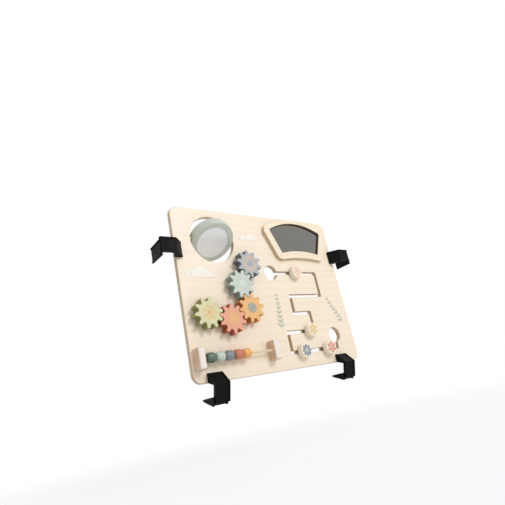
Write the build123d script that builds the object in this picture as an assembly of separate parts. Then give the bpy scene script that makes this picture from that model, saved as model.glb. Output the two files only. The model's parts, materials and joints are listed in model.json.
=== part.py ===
from build123d import *
import math
import os

# Activity board that clamps on the front of a wooden high chair.
# Sizes are in millimetres and angles in degrees.
# The row frame has X to the right, Y to the back and Z up, with its origin at the middle of the
# board's bottom edge. Most features are placed in board coordinates instead: x from the board's left
# edge, z up from its bottom edge and h out of its front face.

# Running and seating clearances
RUNNING_CLEARANCE = 0.05
LOOSE_CLEARANCE = 0.3
SEAT_CLEARANCE = 0.1

# Board panel
BOARD_THICKNESS = 10.0
BOARD_CORNER_RADIUS = 16.0
BOARD_EDGE_ROUND = 1.5
BOARD_HOLE_ROUND = 0.8

# Turning mirror in its round hole, left half open as a child leaves it
MIRROR_X = 82.0
MIRROR_Z = 258.0
MIRROR_HOLE_RADIUS = 47.5
MIRROR_TOP_WALL = 14.5
MIRROR_REST_TURN = 54.0
RING_GAP = 3.5
RING_THICKNESS = 18.0
RING_EDGE_ROUND = 3.0
RING_RIM = 11.5
RECESS_DEPTH = 3.2
RECESS_ROUND = 0.8
MIRROR_GLASS = 2.0
PIVOT_RADIUS = 2.0
PIVOT_IN_BOARD = 12.0
PIVOT_IN_RING = 8.0
PIVOT_END_GAP = 0.5
PIVOT_SPACER_RADIUS = 4.0

# Gear train: five equal gears, placed from the middle one by the direction to each neighbour
GEAR_TEETH = 10
GEAR_PITCH_RADIUS = 24.0
GEAR_PRESSURE_ANGLE = 20.0
GEAR_FLANK_END = 2.3
GEAR_BACKLASH = 0.5
GEAR_THICKNESS = 16.0
GEAR_EDGE_CHAMFER = 0.7
GEAR_SPACER = 2.0
GEAR_SPACER_RADIUS = 9.0
GEAR_AXLE_RADIUS = 5.0
GEAR_AXLE_SEAT = 11.0
GEAR_AXLE_END = 0.4
GEAR_WASHER_RADIUS = 9.0
GEAR_WASHER = 2.0
GEAR_MINT_X = 117.5
GEAR_MINT_Z = 163.4
BLUE_BEARING = 56.5
ORANGE_BEARING = -76.3
RED_BEARING = 201.5
GREEN_BEARING = 164.9
GEAR_RED_PHASE = 18.0

# Bead rail
RAIL_LEFT_X = 4.5
RAIL_SPAN = 142.0
RAIL_Z = 37.8
RAIL_PROUD = 12.0
POST_WIDTH = 13.0
POST_HEIGHT = 35.0
POST_PROUD = 20.0
POST_ROUND = 3.5
POST_SCREW_SPREAD = 16.0
POST_SCREW_BITE = 12.0
ROD_RADIUS = 2.0
ROD_SEAT = 8.0
BEAD_RADIUS = 8.5
BEAD_LENGTH = 18.0
BEAD_ROUND = 6.0
BEAD_REST_GAP = 3.0

# Clamps
CLAMP_WIDTH = 27.5
CLAMP_RIM = 1.2
CLAMP_RIM_WIDTH = 2.5
CLAMP_LIP_THICKNESS = 3.5
CLAMP_BEVEL = 2.5
CLAMP_ROUND = 0.8
CLAMP_SCREW_SPREAD = 13.0
CLAMP_SCREW_BITE = 6.0
UPPER_CLAMP_Z = 231.5
UPPER_HOOK_DROP = 5.0
UPPER_LIP = 12.0
UPPER_SLANT = 6.0
UPPER_FRONT = 22.0
UPPER_PLATE = 4.0
UPPER_TIP = 2.5
LEG_GAP = 3.0
LEG_WIDTH = 30.0
LEG_REACH = 20.0
LOWER_LEFT_CLAMP_X = 38.0
LOWER_RIGHT_CLAMP_X = 342.5
LOWER_HOOK_SHIFT = 3.0
LOWER_LIP = 15.0
LOWER_SLANT = 4.0
LOWER_FRONT = 22.5
LOWER_FRONT_LEAN = 10.5
LOWER_PLATE = 6.0
CROSSBAR_DROP = 23.0
CROSSBAR_SHOULDER = 5.5
CROSSBAR_REACH = 19.5
HOOK_ROOT = 13.0
HOOK_TIP = 2.0

# Maze track with its sliding flowers
TRACK_WIDTH = 7.0
TRACK_HOLE_RADIUS = 16.0
TRACK_ENTRY_X = 207.0
TRACK_COLUMN_X = (331.0, 245.0, 288.0, 217.0)
TRACK_EXIT_X = 343.5
TRACK_ROW_STEPS = (39.0, 37.5, 36.5, 49.5)
TRACK_EXIT_RISE = 26.0
FLOWER_RADIUS = 14.0
FLOWER_THICKNESS = 12.0
FLOWER_ROUND = 2.0
FLOWER_STANDOFF = 0.6
FLOWER_CLAMP_GAP = 1.0
FLOWER_BUSH_GAP = 0.2
BACKER_RADIUS = 11.0
BACKER_THICKNESS = 4.0
BACKER_ROUND = 1.0
FLOWER_SCREW_BITE = 8.0
FLOWER_PEACH_X = 269.5
FLOWER_YELLOW_X = 273.5
FLOWER_BLUE_X = 243.0
FLOWER_RED_X = 312.0

# Window frame with its tinted plate
WINDOW_X = 297.5
WINDOW_FLOWER_GAP = 12.5
WINDOW_FOOT_HALF = 63.0
WINDOW_HEAD_HALF = 93.0
WINDOW_RISE = 73.0
WINDOW_HEAD_CROWN = 25.0
WINDOW_FOOT_CROWN = 6.0
WINDOW_CORNER_RADIUS = 14.0
WINDOW_SIDE_BORDER = 17.5
WINDOW_HEAD_BORDER = 10.0
WINDOW_FOOT_BORDER = 16.5
WINDOW_OPENING_RADIUS = 3.0
WINDOW_PROUD = 8.0
WINDOW_EDGE_ROUND = 1.5
WINDOW_SIDE_MARGIN = 9.5
WINDOW_TOP_MARGIN = 3.0
PLATE_THICKNESS = 3.0
PLATE_LAP = 4.0

# Wood screws: round heads behind the turning pieces, countersunk heads behind the fixed ones
SCREW_RADIUS = 1.75
SCREW_HEAD_RADIUS = 3.8
SCREW_HEAD = 2.6
SCREW_HEAD_ROUND = 1.2
SCREW_BITE = 14.0
COUNTERSINK_RADIUS = 3.6
COUNTERSINK = 2.2
DRIVE_LENGTH = 4.0
DRIVE_WIDTH = 1.1
DRIVE_DEPTH = 1.3

# Sizes that follow from those above
TRACK_ROW_Z = [LOWER_LIP + FLOWER_RADIUS + FLOWER_CLAMP_GAP]
for row_step in TRACK_ROW_STEPS:
    TRACK_ROW_Z.append(TRACK_ROW_Z[-1] + row_step)
WINDOW_FOOT_Z = TRACK_ROW_Z[-1] + FLOWER_RADIUS + WINDOW_FLOWER_GAP
WINDOW_TOP_Z = WINDOW_FOOT_Z + WINDOW_RISE + WINDOW_HEAD_CROWN
BOARD_WIDTH = WINDOW_X + WINDOW_HEAD_HALF + WINDOW_SIDE_MARGIN
BOARD_HEIGHT = max(MIRROR_Z + MIRROR_HOLE_RADIUS + MIRROR_TOP_WALL, WINDOW_TOP_Z + WINDOW_TOP_MARGIN)
RING_RADIUS = MIRROR_HOLE_RADIUS - RING_GAP
RECESS_RADIUS = RING_RADIUS - RING_RIM
GEAR_BACK = GEAR_SPACER + LOOSE_CLEARANCE
RAIL_START_X = RAIL_LEFT_X + POST_WIDTH

# Board coordinates: local x, y and z are x, z and h
FRONT = Plane(
    origin=(-BOARD_WIDTH / 2, -BOARD_THICKNESS / 2, 0), x_dir=(1, 0, 0), z_dir=(0, -1, 0)
)


def on_front(shape, x, z, h=0.0):
    """Place a shape made about the local origin at x, z and h on the board's front."""
    return FRONT * Pos(x, z, h) * shape


def disc(radius, low, high):
    """A round bar about local h, between two heights."""
    return Pos(0, 0, low) * extrude(Circle(radius), high - low)


def ring(outer, inner, low, high):
    """A tube about local h, between two heights."""
    return Pos(0, 0, low) * extrude(Circle(outer) - Circle(inner), high - low)


def crosswise(radius, low, high):
    """A round bar about local x, between two places."""
    return Pos(low, 0, 0) * Rot(0, 90, 0) * extrude(Circle(radius), high - low)


def driven(screw, back):
    """Cut the cross-shaped drive into a screw's head from behind."""
    slot = Box(DRIVE_LENGTH, DRIVE_WIDTH, DRIVE_DEPTH, align=(Align.CENTER, Align.CENTER, Align.MIN))
    for turn in (0, 90):
        screw -= Pos(0, 0, back) * Rot(0, 0, turn) * slot
    return screw


def round_head_screw(seat, tip):
    """A screw whose head bears on the seat from behind and whose shank ends at the tip."""
    head = disc(SCREW_HEAD_RADIUS, seat - SCREW_HEAD, seat)
    head = fillet(head.edges().group_by(Axis.Z)[0], SCREW_HEAD_ROUND)
    return driven(head + disc(SCREW_RADIUS, seat, tip), seat - SCREW_HEAD)


def countersunk_hole(tip):
    """The space of a screw whose head is level with the board's back, to the tip of its shank."""
    cone = Cone(COUNTERSINK_RADIUS, SCREW_RADIUS, COUNTERSINK, align=(Align.CENTER, Align.CENTER, Align.MIN))
    head = Pos(0, 0, -BOARD_THICKNESS) * cone
    return head + disc(SCREW_RADIUS, COUNTERSINK - BOARD_THICKNESS, tip)


def fixing_screw(tip):
    """A countersunk screw that fills its hole."""
    return driven(countersunk_hole(tip), -BOARD_THICKNESS)


def polar(radius, angle):
    """A point of the plane from its radius and its angle in degrees."""
    return (radius * math.cos(math.radians(angle)), radius * math.sin(math.radians(angle)))


def flank_angle(radius):
    """Half of a tooth's angle at a radius, on an involute flank thinned by the backlash."""
    base = GEAR_PITCH_RADIUS * math.cos(math.radians(GEAR_PRESSURE_ANGLE))
    pressure = math.radians(GEAR_PRESSURE_ANGLE)
    local = math.acos(min(1.0, base / radius))
    thinned = math.pi / (2 * GEAR_TEETH) - GEAR_BACKLASH / (2 * GEAR_PITCH_RADIUS)
    roll = (math.tan(pressure) - pressure) - (math.tan(local) - local)
    return math.degrees(thinned + roll)


def gear_outline():
    """Involute teeth with round tips and gaps, the first tooth centred on local x."""
    base = GEAR_PITCH_RADIUS * math.cos(math.radians(GEAR_PRESSURE_ANGLE))
    shoulder = GEAR_PITCH_RADIUS + GEAR_FLANK_END
    middle = (base + shoulder) / 2
    pitch = 360 / GEAR_TEETH
    lines = []
    for tooth in range(GEAR_TEETH):
        at = tooth * pitch
        rising = [polar(r, at - flank_angle(r)) for r in (base, middle, shoulder)]
        falling = [polar(r, at + flank_angle(r)) for r in (shoulder, middle, base)]
        next_foot = polar(base, at + pitch - flank_angle(base))
        rise = ThreePointArc(*rising)
        fall = ThreePointArc(*falling)
        tip = TangentArc(rising[-1], falling[0], tangent=rise % 1)
        gap = TangentArc(falling[-1], next_foot, tangent=fall % 1)
        lines += [rise, tip, fall, gap]
    return make_face(lines)


def step_from(place, bearing):
    """The centre of the gear that meshes with the one at a place, in a direction."""
    dx, dz = polar(2 * GEAR_PITCH_RADIUS, bearing)
    return (place[0] + dx, place[1] + dz)


def meshed_phase(phase, bearing):
    """The turn of a gear that meshes with a gear of the given phase in a direction."""
    return 2 * bearing + 180 - 180 / GEAR_TEETH - phase


def gear_places():
    """Centre and phase of each gear, from the terracotta gear's phase outwards."""
    mint = (GEAR_MINT_X, GEAR_MINT_Z)
    orange = step_from(mint, ORANGE_BEARING)
    red = step_from(orange, RED_BEARING)
    orange_phase = meshed_phase(GEAR_RED_PHASE, RED_BEARING)
    mint_phase = meshed_phase(orange_phase, ORANGE_BEARING)
    return {
        "blue": (step_from(mint, BLUE_BEARING), meshed_phase(mint_phase, BLUE_BEARING)),
        "mint": (mint, mint_phase),
        "orange": (orange, orange_phase),
        "red": (red, GEAR_RED_PHASE),
        "green": (step_from(red, GREEN_BEARING), meshed_phase(GEAR_RED_PHASE, GREEN_BEARING)),
    }


def track_points():
    """Corners of the maze track from its entry hole to its exit hole, in board coordinates."""
    right, middle_left, middle_right, left = TRACK_COLUMN_X
    base, second, third, fourth, top = TRACK_ROW_Z
    return [
        (TRACK_ENTRY_X, top),
        (right, top),
        (right, fourth),
        (middle_left, fourth),
        (middle_left, third),
        (middle_right, third),
        (middle_right, second),
        (left, second),
        (left, base),
        (TRACK_EXIT_X, base),
        (TRACK_EXIT_X, base + TRACK_EXIT_RISE),
    ]


def flower_places():
    """Rest place of each flower knob on its straight run of the track."""
    return {
        "peach": (FLOWER_PEACH_X, TRACK_ROW_Z[-1]),
        "yellow": (FLOWER_YELLOW_X, TRACK_ROW_Z[1]),
        "blue": (FLOWER_BLUE_X, TRACK_ROW_Z[0]),
        "red": (FLOWER_RED_X, TRACK_ROW_Z[0]),
    }


def track_sketch():
    """The maze track as one open slot with a round hole at each end."""
    points = track_points()
    sketch = Sketch()
    for (x0, z0), (x1, z1) in zip(points, points[1:]):
        turn = 0 if z0 == z1 else 90
        leg = SlotCenterToCenter(abs(x1 - x0) + abs(z1 - z0), TRACK_WIDTH, rotation=turn)
        sketch += Pos((x0 + x1) / 2, (z0 + z1) / 2) * leg
    for x, z in (points[0], points[-1]):
        sketch += Pos(x, z) * Circle(TRACK_HOLE_RADIUS)
    return sketch


def post_places():
    """Left edges of the two posts."""
    return {"left": RAIL_LEFT_X, "right": RAIL_START_X + RAIL_SPAN}


def post_screw_places():
    """Centres of the screws that hold the posts."""
    half = POST_SCREW_SPREAD / 2
    return [(x + POST_WIDTH / 2, RAIL_Z + side) for x in post_places().values() for side in (-half, half)]


def clamp_screw_places():
    """Centres of the screws that hold the clamps by their lips."""
    half = CLAMP_SCREW_SPREAD / 2
    upper = [(x, UPPER_CLAMP_Z + side) for x in (UPPER_LIP / 2, BOARD_WIDTH - UPPER_LIP / 2)
             for side in (-half, half)]
    lower = [(x + side, LOWER_LIP / 2) for x in (LOWER_LEFT_CLAMP_X, LOWER_RIGHT_CLAMP_X)
             for side in (-half, half)]
    return upper + lower


def hole_rims(panel):
    """Front edges of the mirror hole and of the track, where fingers go."""
    front = panel.faces().sort_by(Axis.Z)[-1]
    bore = 2 * math.pi * (GEAR_AXLE_RADIUS + RUNNING_CLEARANCE)
    wires = [wire for wire in front.inner_wires() if wire.length > 2 * bore]
    return [edge for wire in wires for edge in wire.edges()]


def board_panel():
    """The plywood panel with every hole that the other pieces need."""
    outline = Pos(BOARD_WIDTH / 2, BOARD_HEIGHT / 2) * RectangleRounded(
        BOARD_WIDTH, BOARD_HEIGHT, BOARD_CORNER_RADIUS
    )
    panel = extrude(outline, -BOARD_THICKNESS)
    rims = panel.edges().group_by(Axis.Z)
    panel = fillet(rims[0] + rims[-1], BOARD_EDGE_ROUND)
    openings = track_sketch() + Pos(MIRROR_X, MIRROR_Z) * Circle(MIRROR_HOLE_RADIUS)
    for (x, z), _ in gear_places().values():
        openings += Pos(x, z) * Circle(GEAR_AXLE_RADIUS + RUNNING_CLEARANCE)
    panel -= extrude(openings, -BOARD_THICKNESS)
    panel = fillet(hole_rims(panel), BOARD_HOLE_ROUND)
    for x, z in post_screw_places() + clamp_screw_places():
        panel -= Pos(x, z) * countersunk_hole(0)
    for pin in pivot_pins():
        panel -= pin
    return FRONT * panel


def pivot_pins():
    """Two pins on the mirror's level axis, one to the left of the ring and one to its right."""
    inner = RING_RADIUS - PIVOT_IN_RING + PIVOT_END_GAP
    outer = MIRROR_HOLE_RADIUS + PIVOT_IN_BOARD
    axis = Pos(MIRROR_X, MIRROR_Z, -BOARD_THICKNESS / 2)
    return [axis * crosswise(PIVOT_RADIUS, inner, outer), axis * crosswise(PIVOT_RADIUS, -outer, -inner)]


def pivot_spacers():
    """Sleeves on the pins that keep the ring in the middle of its hole."""
    seat = math.sqrt(MIRROR_HOLE_RADIUS**2 - PIVOT_SPACER_RADIUS**2) - SEAT_CLEARANCE
    inner = RING_RADIUS + LOOSE_CLEARANCE
    axis = Pos(MIRROR_X, MIRROR_Z, -BOARD_THICKNESS / 2)
    sleeve = crosswise(PIVOT_SPACER_RADIUS, inner, seat) - crosswise(PIVOT_RADIUS, inner, seat)
    return [axis * sleeve, axis * Rot(0, 0, 180) * sleeve]


def turned_mirror(shape):
    """Turn a mirror piece to its half-open rest place in the hole, with its top to the front."""
    return on_front(Rot(MIRROR_REST_TURN, 0, 0) * shape, MIRROR_X, MIRROR_Z, -BOARD_THICKNESS / 2)


def mirror_ring():
    """The rim that carries a mirror on each face and turns on the pins."""
    half = RING_THICKNESS / 2
    body = disc(RING_RADIUS, -half, half)
    body = fillet(body.edges(), RING_EDGE_ROUND)
    for side in (1, -1):
        body -= disc(RECESS_RADIUS, side * half, side * (half - RECESS_DEPTH))
    faces = body.faces().sort_by(Axis.Z)
    body = fillet(faces[0].inner_wires()[0].edges() + faces[-1].inner_wires()[0].edges(), RECESS_ROUND)
    bore = PIVOT_RADIUS + RUNNING_CLEARANCE
    body -= crosswise(bore, RING_RADIUS - PIVOT_IN_RING, RING_RADIUS)
    body -= crosswise(bore, -RING_RADIUS, PIVOT_IN_RING - RING_RADIUS)
    return turned_mirror(body)


def mirror_glass(side):
    """One acrylic mirror, glued in the bottom of its recess."""
    floor = RING_THICKNESS / 2 - RECESS_DEPTH
    glass = disc(RECESS_RADIUS - SEAT_CLEARANCE, side * floor, side * (floor + MIRROR_GLASS))
    return turned_mirror(glass)


def gear_pieces(place, phase):
    """A gear with the dowel axle, rear washer and screw that turn with it."""
    x, z = place
    seat = GEAR_BACK + GEAR_AXLE_SEAT
    end = -BOARD_THICKNESS - GEAR_AXLE_END
    wheel = Pos(0, 0, GEAR_BACK) * extrude(Rot(0, 0, phase) * gear_outline(), GEAR_THICKNESS)
    rims = wheel.edges().group_by(Axis.Z)
    wheel = chamfer(rims[0] + rims[-1], GEAR_EDGE_CHAMFER)
    wheel -= disc(GEAR_AXLE_RADIUS, GEAR_BACK, seat)
    axle = disc(GEAR_AXLE_RADIUS, end, seat) - disc(SCREW_RADIUS, end, end + SCREW_BITE)
    washer = ring(GEAR_WASHER_RADIUS, SCREW_RADIUS, end - GEAR_WASHER, end)
    screw = round_head_screw(end - GEAR_WASHER, end + SCREW_BITE)
    pieces = {"": wheel, "_axle": axle, "_washer": washer, "_screw": screw}
    return {suffix: on_front(piece, x, z) for suffix, piece in pieces.items()}


def gear_spacer(place):
    """The loose washer between a gear and the board."""
    return on_front(ring(GEAR_SPACER_RADIUS, GEAR_AXLE_RADIUS + LOOSE_CLEARANCE, 0, GEAR_SPACER), *place)


def bead_post(x, side):
    """A rail post with the blind hole for the rod and the pilot holes for its screws."""
    centre = Pos(POST_WIDTH / 2, 0, POST_PROUD / 2)
    post = centre * Box(POST_WIDTH, POST_HEIGHT, POST_PROUD)
    post = fillet(post.edges().group_by(Axis.Z)[-1], POST_ROUND)
    seat = POST_WIDTH if side == "left" else ROD_SEAT
    post -= Pos(0, 0, RAIL_PROUD) * crosswise(ROD_RADIUS, seat - ROD_SEAT, seat)
    for spread in (-POST_SCREW_SPREAD / 2, POST_SCREW_SPREAD / 2):
        post -= Pos(POST_WIDTH / 2, spread, 0) * disc(SCREW_RADIUS, 0, POST_SCREW_BITE)
    return on_front(post, x, RAIL_Z)


def bead_rod():
    """The rod between the posts, with its ends in them."""
    rod = crosswise(ROD_RADIUS, -ROD_SEAT, RAIL_SPAN + ROD_SEAT)
    return on_front(rod, RAIL_START_X, RAIL_Z, RAIL_PROUD)


def bead(number):
    """One barrel bead, counted from the left."""
    body = fillet(disc(BEAD_RADIUS, 0, BEAD_LENGTH).edges(), BEAD_ROUND)
    body -= disc(ROD_RADIUS + LOOSE_CLEARANCE, 0, BEAD_LENGTH)
    start = RAIL_START_X + BEAD_REST_GAP + number * BEAD_LENGTH
    return on_front(Rot(0, 90, 0) * body, start, RAIL_Z, RAIL_PROUD)


def rimmed(points, dx, dy):
    """A moulded plate from the corners of its profile, with a rim at each end raised by dx and dy."""
    face = make_face(Polyline(*points, close=True))
    face = fillet(face.vertices(), CLAMP_ROUND)
    plate = extrude(face, CLAMP_WIDTH)
    rim = extrude(face + Pos(dx, dy) * face, CLAMP_RIM_WIDTH)
    return plate + rim + Pos(0, 0, CLAMP_WIDTH - CLAMP_RIM_WIDTH) * rim


def clamp(body_points, hook_points, plane, shift):
    """A moulded clamp from its two profiles: x outwards from the board's edge, y out of its front."""
    body = rimmed(body_points, 0, CLAMP_RIM)
    hook = rimmed(hook_points, CLAMP_RIM, 0)
    whole = body + Pos(0, 0, shift) * hook
    return plane * Pos(0, 0, -CLAMP_WIDTH / 2) * whole


def upper_clamp(side):
    """A clamp round a front leg, on the board's left (-1) or right (1) edge."""
    inner = UPPER_FRONT - UPPER_PLATE
    outside = LEG_GAP + LEG_WIDTH + UPPER_PLATE
    leg_side = LEG_GAP + LEG_WIDTH
    body = [
        (-UPPER_LIP, 0),
        (-UPPER_LIP, CLAMP_LIP_THICKNESS),
        (UPPER_SLANT, UPPER_FRONT),
        (outside - CLAMP_BEVEL, UPPER_FRONT),
        (outside, UPPER_FRONT - CLAMP_BEVEL),
        (outside, inner),
        (LEG_GAP, inner),
        (LEG_GAP, 0),
    ]
    hook = [
        (outside, UPPER_FRONT - CLAMP_BEVEL),
        (leg_side, UPPER_FRONT - CLAMP_BEVEL),
        (leg_side, -LEG_REACH),
        (leg_side + UPPER_TIP, -LEG_REACH),
    ]
    edge = side * BOARD_WIDTH / 2
    plane = Plane(
        origin=(edge, -BOARD_THICKNESS / 2, UPPER_CLAMP_Z), x_dir=(side, 0, 0), z_dir=(0, 0, -side)
    )
    return clamp(body, hook, plane, side * UPPER_HOOK_DROP)


def lower_clamp(x):
    """A clamp round the front crossbar, centred at x on the board's bottom edge."""
    foot = CROSSBAR_DROP + HOOK_ROOT
    lean = LOWER_FRONT_LEAN / (foot - LOWER_SLANT)
    shoulder_front = LOWER_FRONT - lean * (CROSSBAR_SHOULDER - LOWER_SLANT) - LOWER_PLATE
    seat_front = LOWER_FRONT - lean * (CROSSBAR_DROP - LOWER_SLANT)
    foot_front = LOWER_FRONT - LOWER_FRONT_LEAN
    body = [
        (-LOWER_LIP, 0),
        (-LOWER_LIP, CLAMP_LIP_THICKNESS),
        (LOWER_SLANT, LOWER_FRONT),
        (foot - CLAMP_BEVEL, foot_front + lean * CLAMP_BEVEL),
        (foot - CLAMP_BEVEL, foot_front - LOWER_PLATE),
        (CROSSBAR_DROP, seat_front - LOWER_PLATE),
        (CROSSBAR_SHOULDER, shoulder_front),
        (0, 0),
    ]
    hook = [
        (CROSSBAR_DROP, seat_front - LOWER_PLATE / 2),
        (CROSSBAR_DROP, -CROSSBAR_REACH),
        (CROSSBAR_DROP + HOOK_TIP, -CROSSBAR_REACH),
        (foot, foot_front - CLAMP_BEVEL),
        (foot - CLAMP_BEVEL, foot_front),
    ]
    place = (x - BOARD_WIDTH / 2, -BOARD_THICKNESS / 2, 0)
    plane = Plane(origin=place, x_dir=(0, 0, -1), z_dir=(-1, 0, 0))
    return clamp(body, hook, plane, LOWER_HOOK_SHIFT)


def with_pilots(body, places, bite):
    """Cut the pilot holes of the screws that come through the board into a piece on its front."""
    for x, z in places:
        body -= on_front(disc(SCREW_RADIUS, 0, bite), x, z)
    return body


def flower_pieces(x, z):
    """A flower knob with its bush in the track, its backing disc and the screw that joins them."""
    back = -BOARD_THICKNESS
    top = FLOWER_STANDOFF + FLOWER_THICKNESS
    behind = back - FLOWER_STANDOFF - BACKER_THICKNESS
    bite = FLOWER_STANDOFF + FLOWER_SCREW_BITE
    knob = disc(FLOWER_RADIUS, FLOWER_STANDOFF, top)
    knob = fillet(knob.edges(), FLOWER_ROUND) - disc(SCREW_RADIUS, FLOWER_STANDOFF, bite)
    reach = FLOWER_STANDOFF - FLOWER_BUSH_GAP
    bush = ring(TRACK_WIDTH / 2 - LOOSE_CLEARANCE, SCREW_RADIUS + RUNNING_CLEARANCE, back - reach, reach)
    backer = fillet(disc(BACKER_RADIUS, behind, back - FLOWER_STANDOFF).edges(), BACKER_ROUND)
    backer -= disc(SCREW_RADIUS, behind, back - FLOWER_STANDOFF)
    screw = round_head_screw(behind, bite)
    pieces = {"": knob, "_bush": bush, "_backer": backer, "_screw": screw}
    return {suffix: on_front(piece, x, z) for suffix, piece in pieces.items()}


def window_outline(foot_half, head_half, foot, head, foot_crown, head_crown, radius):
    """A window wider at its head, with an arched head and foot and rounded corners."""
    corners = [(-foot_half, foot), (foot_half, foot), (head_half, head), (-head_half, head)]
    face = make_face([
        ThreePointArc(corners[0], (0, foot + foot_crown), corners[1]),
        Line(corners[1], corners[2]),
        ThreePointArc(corners[2], (0, head + head_crown), corners[3]),
        Line(corners[3], corners[0]),
    ])
    return fillet(face.vertices(), radius)


def window_opening(lap, radius):
    """The window's opening, made larger all round by a lap."""
    rise = WINDOW_RISE + WINDOW_HEAD_CROWN - WINDOW_FOOT_CROWN
    slope = (WINDOW_HEAD_HALF - WINDOW_FOOT_HALF) / WINDOW_RISE
    foot = WINDOW_FOOT_BORDER - lap
    head_drop = WINDOW_SIDE_BORDER - lap
    head = rise + WINDOW_FOOT_CROWN - WINDOW_HEAD_BORDER + lap - WINDOW_HEAD_CROWN + WINDOW_FOOT_CROWN
    foot_half = WINDOW_FOOT_HALF + slope * foot - head_drop
    head_half = WINDOW_FOOT_HALF + slope * head - head_drop
    return window_outline(
        foot_half, head_half, foot, head, WINDOW_FOOT_CROWN, WINDOW_HEAD_CROWN - WINDOW_FOOT_CROWN, radius
    )


def window_frame():
    """The raised frame, rebated behind for its plate."""
    outer = window_outline(
        WINDOW_FOOT_HALF, WINDOW_HEAD_HALF, 0, WINDOW_RISE, WINDOW_FOOT_CROWN, WINDOW_HEAD_CROWN,
        WINDOW_CORNER_RADIUS,
    )
    frame = extrude(outer - window_opening(0, WINDOW_OPENING_RADIUS), WINDOW_PROUD)
    frame = fillet(frame.edges().group_by(Axis.Z)[-1], WINDOW_EDGE_ROUND)
    frame -= extrude(window_opening(PLATE_LAP, WINDOW_OPENING_RADIUS), PLATE_THICKNESS + SEAT_CLEARANCE)
    return on_front(frame, WINDOW_X, WINDOW_FOOT_Z)


def window_plate():
    """The tinted plate held between the frame and the board."""
    outline = window_opening(PLATE_LAP - SEAT_CLEARANCE, WINDOW_OPENING_RADIUS)
    return on_front(extrude(outline, PLATE_THICKNESS), WINDOW_X, WINDOW_FOOT_Z)


def make_nodes():
    """Every node of the board, by name."""
    nodes = {"board_panel": board_panel(), "window_frame": window_frame(), "window_plate": window_plate()}
    for side, x in post_places().items():
        nodes[f"bead_post_{side}"] = bead_post(x, side)
    nodes["bead_rod"] = bead_rod()
    nodes["post_screws"] = Compound(
        children=[on_front(fixing_screw(POST_SCREW_BITE), x, z) for x, z in post_screw_places()]
    )
    places = clamp_screw_places()
    clamps = {
        "clamp_upper_left": (upper_clamp(-1), places[0:2]),
        "clamp_upper_right": (upper_clamp(1), places[2:4]),
        "clamp_lower_left": (lower_clamp(LOWER_LEFT_CLAMP_X), places[4:6]),
        "clamp_lower_right": (lower_clamp(LOWER_RIGHT_CLAMP_X), places[6:8]),
    }
    for name, (body, own_places) in clamps.items():
        nodes[name] = with_pilots(body, own_places, CLAMP_SCREW_BITE)
    nodes["clamp_screws"] = Compound(
        children=[on_front(fixing_screw(CLAMP_SCREW_BITE), x, z) for x, z in places]
    )
    nodes["mirror_ring"] = mirror_ring()
    nodes["mirror_front"] = mirror_glass(1)
    nodes["mirror_back"] = mirror_glass(-1)
    nodes["mirror_pivot_pins"] = Compound(children=[FRONT * pin for pin in pivot_pins()])
    nodes["mirror_spacers"] = Compound(children=[FRONT * sleeve for sleeve in pivot_spacers()])
    for colour, (place, phase) in gear_places().items():
        for suffix, piece in gear_pieces(place, phase).items():
            nodes[f"gear_{colour}{suffix}"] = piece
    nodes["gear_spacers"] = Compound(children=[gear_spacer(place) for place, _ in gear_places().values()])
    for number, colour in enumerate(("green", "mint", "blue", "red", "orange")):
        nodes[f"bead_{colour}"] = bead(number)
    for colour, (x, z) in flower_places().items():
        for suffix, piece in flower_pieces(x, z).items():
            nodes[f"flower_{colour}{suffix}"] = piece
    return nodes


os.makedirs("parts", exist_ok=True)
for name, shape in make_nodes().items():
    export_step(shape, f"parts/{name}.step")
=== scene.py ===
import json
import logging
import math
from collections.abc import Callable
from dataclasses import dataclass, replace
from enum import Enum

import bmesh
import bpy
from mathutils import Matrix, Vector


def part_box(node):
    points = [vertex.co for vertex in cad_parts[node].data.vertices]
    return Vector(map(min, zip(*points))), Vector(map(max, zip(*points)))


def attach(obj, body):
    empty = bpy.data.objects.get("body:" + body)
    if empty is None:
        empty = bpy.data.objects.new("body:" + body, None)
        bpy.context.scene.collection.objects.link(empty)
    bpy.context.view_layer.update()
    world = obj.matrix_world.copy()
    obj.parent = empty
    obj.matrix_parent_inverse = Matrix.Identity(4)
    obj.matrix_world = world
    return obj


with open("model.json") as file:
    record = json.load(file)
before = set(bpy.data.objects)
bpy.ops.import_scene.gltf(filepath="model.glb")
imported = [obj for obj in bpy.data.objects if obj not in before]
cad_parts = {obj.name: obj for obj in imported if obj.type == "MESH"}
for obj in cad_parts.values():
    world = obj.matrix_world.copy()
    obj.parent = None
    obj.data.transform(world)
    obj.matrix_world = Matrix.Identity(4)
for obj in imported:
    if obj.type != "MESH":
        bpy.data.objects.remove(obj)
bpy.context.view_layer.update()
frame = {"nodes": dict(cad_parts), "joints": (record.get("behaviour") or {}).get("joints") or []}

NODES = frame["nodes"]
JOINTS = {joint["name"]: joint for joint in frame["joints"]}
MM = 0.001

Colour = tuple[float, float, float, float]
Outline = list[tuple[float, float]]
Span = tuple[float, float]
Triple = tuple[float, float, float]
Mesh = bpy.types.Mesh
Node = bpy.types.Node
Socket = bpy.types.NodeSocket
Sockets = bpy.types.bpy_prop_collection
Tree = bpy.types.NodeTree

WHITE: Colour = (1.0, 1.0, 1.0, 1.0)
UNIT: Span = (0.0, 1.0)
NOISE_SPAN: Span = (0.3, 0.7)
CIRCLE_POINTS = 64
COLOUR_MIX_INPUTS = (0, 6, 7)
COLOUR_MIX_RESULT = 2
log = logging.getLogger("activity_board")


def screen(red: int, green: int, blue: int) -> Colour:
    """Turn a colour as a screen shows it, each channel from 0 to 255, into a linear one."""
    scaled = (channel / 255 for channel in (red, green, blue))
    return (*(v / 12.92 if v <= 0.04045 else ((v + 0.055) / 1.055) ** 2.4 for v in scaled), 1.0)


def shaded(colour: Colour, factor: float) -> Colour:
    """Darken or lighten a colour by a factor, at most to white."""
    return (*(min(1.0, channel * factor) for channel in colour[:3]), 1.0)


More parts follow.
